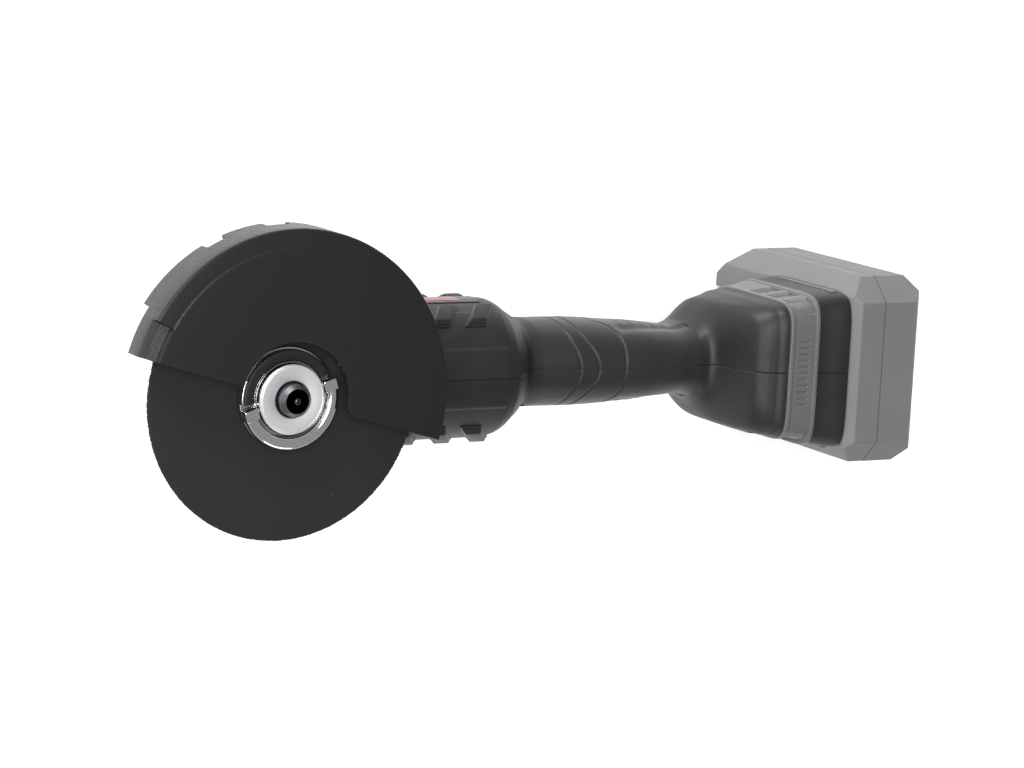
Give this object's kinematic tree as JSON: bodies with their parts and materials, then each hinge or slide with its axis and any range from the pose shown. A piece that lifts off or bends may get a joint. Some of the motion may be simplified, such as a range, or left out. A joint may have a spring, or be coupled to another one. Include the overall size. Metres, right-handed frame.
{
  "type": "cordless angle grinder",
  "caption": "Battery angle grinder with a swivelling disc guard, fold-out quick nut, slim grip, spindle lock, slide switch and a battery that slides off its foot.",
  "frame": {"origin": "where the spindle axis meets the flat back of the gear case", "axes": "+Z along the spindle, out towards the disc; +X along the motor and grip, towards the battery; +Y completes the set, across the tool"},
  "size_m": [0.3942, 0.1351, 0.1308],
  "materials": {
    "gear_case_coat": "satin black coat on a casting",
    "black_pad": "matte moulded",
    "zinc_steel": "zinc plated",
    "cover_casting": "satin black coat on a casting",
    "bearing_steel": "ground",
    "inner_plastic": "moulded",
    "lamination_steel": "stacked sheet",
    "copper_wire": "enamelled wire",
    "housing_plastic": "fine spark-eroded texture",
    "soft_grip": "soft-touch moulding",
    "label_film": "printed film",
    "silver_plastic": "metallic-effect moulding, satin",
    "contact_brass": "stamped",
    "circuit_board": "lacquered",
    "spring_steel": "drawn",
    "blackened_steel": "blackened",
    "gear_steel": "case hardened",
    "bonded_abrasive": "resin-bonded grit",
    "nickel_plate": "plated",
    "nut_plastic": "moulded",
    "turned_steel": "fine turned",
    "chrome_plate": "polished",
    "magnet": "sintered",
    "guard_coat": "textured black powder coat",
    "lever_red": "moulded",
    "switch_red": "moulded",
    "battery_plastic": "fine moulded texture",
    "cell_wrap": "shrink wrap",
    "button_plastic": "moulded"
  },
  "bodies": {
    "housing": {"gear_case": "gear_case_coat", "gear_case_pad": "black_pad", "gear_case_screws": "zinc_steel", "bearing_cover": "cover_casting", "bearing_cover_screws": "zinc_steel", "spindle_ball_bearing": "bearing_steel", "spindle_needle_bearing": "bearing_steel", "pinion_bearing": "bearing_steel", "motor_rear_bearing": "bearing_steel", "motor_end_bracket": "inner_plastic", "stator_core": "lamination_steel", "stator_windings": "copper_wire", "housing_shell_left": "housing_plastic", "housing_shell_right": "housing_plastic", "housing_screws": "zinc_steel", "bumper_studs_left": "soft_grip", "bumper_studs_right": "soft_grip", "side_label": "label_film", "grip_overmould_left": "soft_grip", "grip_overmould_right": "soft_grip", "foot_band": "silver_plastic", "battery_mount": "inner_plastic", "terminal_block": "inner_plastic", "terminal_blades": "contact_brass", "controller_board": "circuit_board", "switch_module": "inner_plastic", "spindle_lock_spring": "spring_steel"},
    "spindle_group": {"spindle": "blackened_steel", "crown_gear": "gear_steel", "gear_retaining_ring": "spring_steel", "inner_flange": "blackened_steel", "cutting_disc": "bonded_abrasive", "disc_bush": "zinc_steel", "nut_body": "nickel_plate", "nut_insert": "nut_plastic", "nut_face": "turned_steel"},
    "bail": {"nut_bail": "chrome_plate", "bail_pins": "spring_steel"},
    "rotor": {"rotor_shaft": "gear_steel", "rotor_core": "lamination_steel", "rotor_magnets": "magnet", "cooling_fan": "inner_plastic", "pinion": "gear_steel"},
    "guard": {"guard_base": "guard_coat", "guard_collar": "zinc_steel", "guard_cover": "guard_coat", "guard_lever_pin": "spring_steel"},
    "clamp_lever": {"guard_lever": "lever_red"},
    "lock_button": {"spindle_lock_button": "black_pad"},
    "switch": {"switch_slider": "switch_red"},
    "battery": {"battery_case_front": "battery_plastic", "battery_case_rear": "battery_plastic", "battery_cells": "cell_wrap", "battery_contacts": "contact_brass", "battery_screws": "zinc_steel"},
    "release_button": {"battery_release_button": "button_plastic"},
    "charge_level_button": {"charge_button": "lever_red"}
  },
  "joints": [
    {"name": "spindle_spin", "type": "hinge", "parent": "housing", "child": "spindle_group", "pos_m": [0, 0, 0.092], "axis": [0, 0, 1], "continuous": true},
    {"name": "rotor_spin", "type": "hinge", "parent": "housing", "child": "rotor", "pos_m": [0.042, 0, 0.042], "axis": [1, 0, 0], "continuous": true},
    {"name": "bail_fold", "type": "hinge", "parent": "spindle_group", "child": "bail", "pos_m": [0, 0, 0.098], "axis": [-0.9511, -0.309, 0], "range_deg": [0, 90]},
    {"name": "guard_swivel", "type": "hinge", "parent": "housing", "child": "guard", "pos_m": [0, 0, 0.08], "axis": [0, 0, 1], "range_deg": [-90, 90]},
    {"name": "clamp_lever_turn", "type": "hinge", "parent": "guard", "child": "clamp_lever", "pos_m": [-0.00384, -0.02733, 0.08], "axis": [0, 0, -1], "range_deg": [0, 100]},
    {"name": "spindle_lock_press", "type": "slide", "parent": "housing", "child": "lock_button", "axis": [0, 0, 1], "range_m": [0, 0.0035], "stiffness_N_per_m": 900, "springref_m": -0.001, "deforming": ["spindle_lock_spring"]},
    {"name": "switch_slide", "type": "slide", "parent": "housing", "child": "switch", "axis": [-1, 0, 0], "range_m": [0, 0.005]},
    {"name": "battery_slide", "type": "slide", "parent": "housing", "child": "battery", "axis": [0, 0, 1], "range_m": [0, 0.112]},
    {"name": "battery_release_press", "type": "slide", "parent": "battery", "child": "release_button", "axis": [1, 0, 0], "range_m": [0, 0.004], "stiffness_N_per_m": 500, "springref_m": -0.001},
    {"name": "charge_button_press", "type": "slide", "parent": "battery", "child": "charge_level_button", "axis": [-1, 0, 0], "range_m": [0, 0.0009], "stiffness_N_per_m": 600, "springref_m": -0.0005}
  ],
  "couplings": [
    {"joint": "rotor_spin", "follows": "spindle_spin", "ratio": -4}
  ]
}
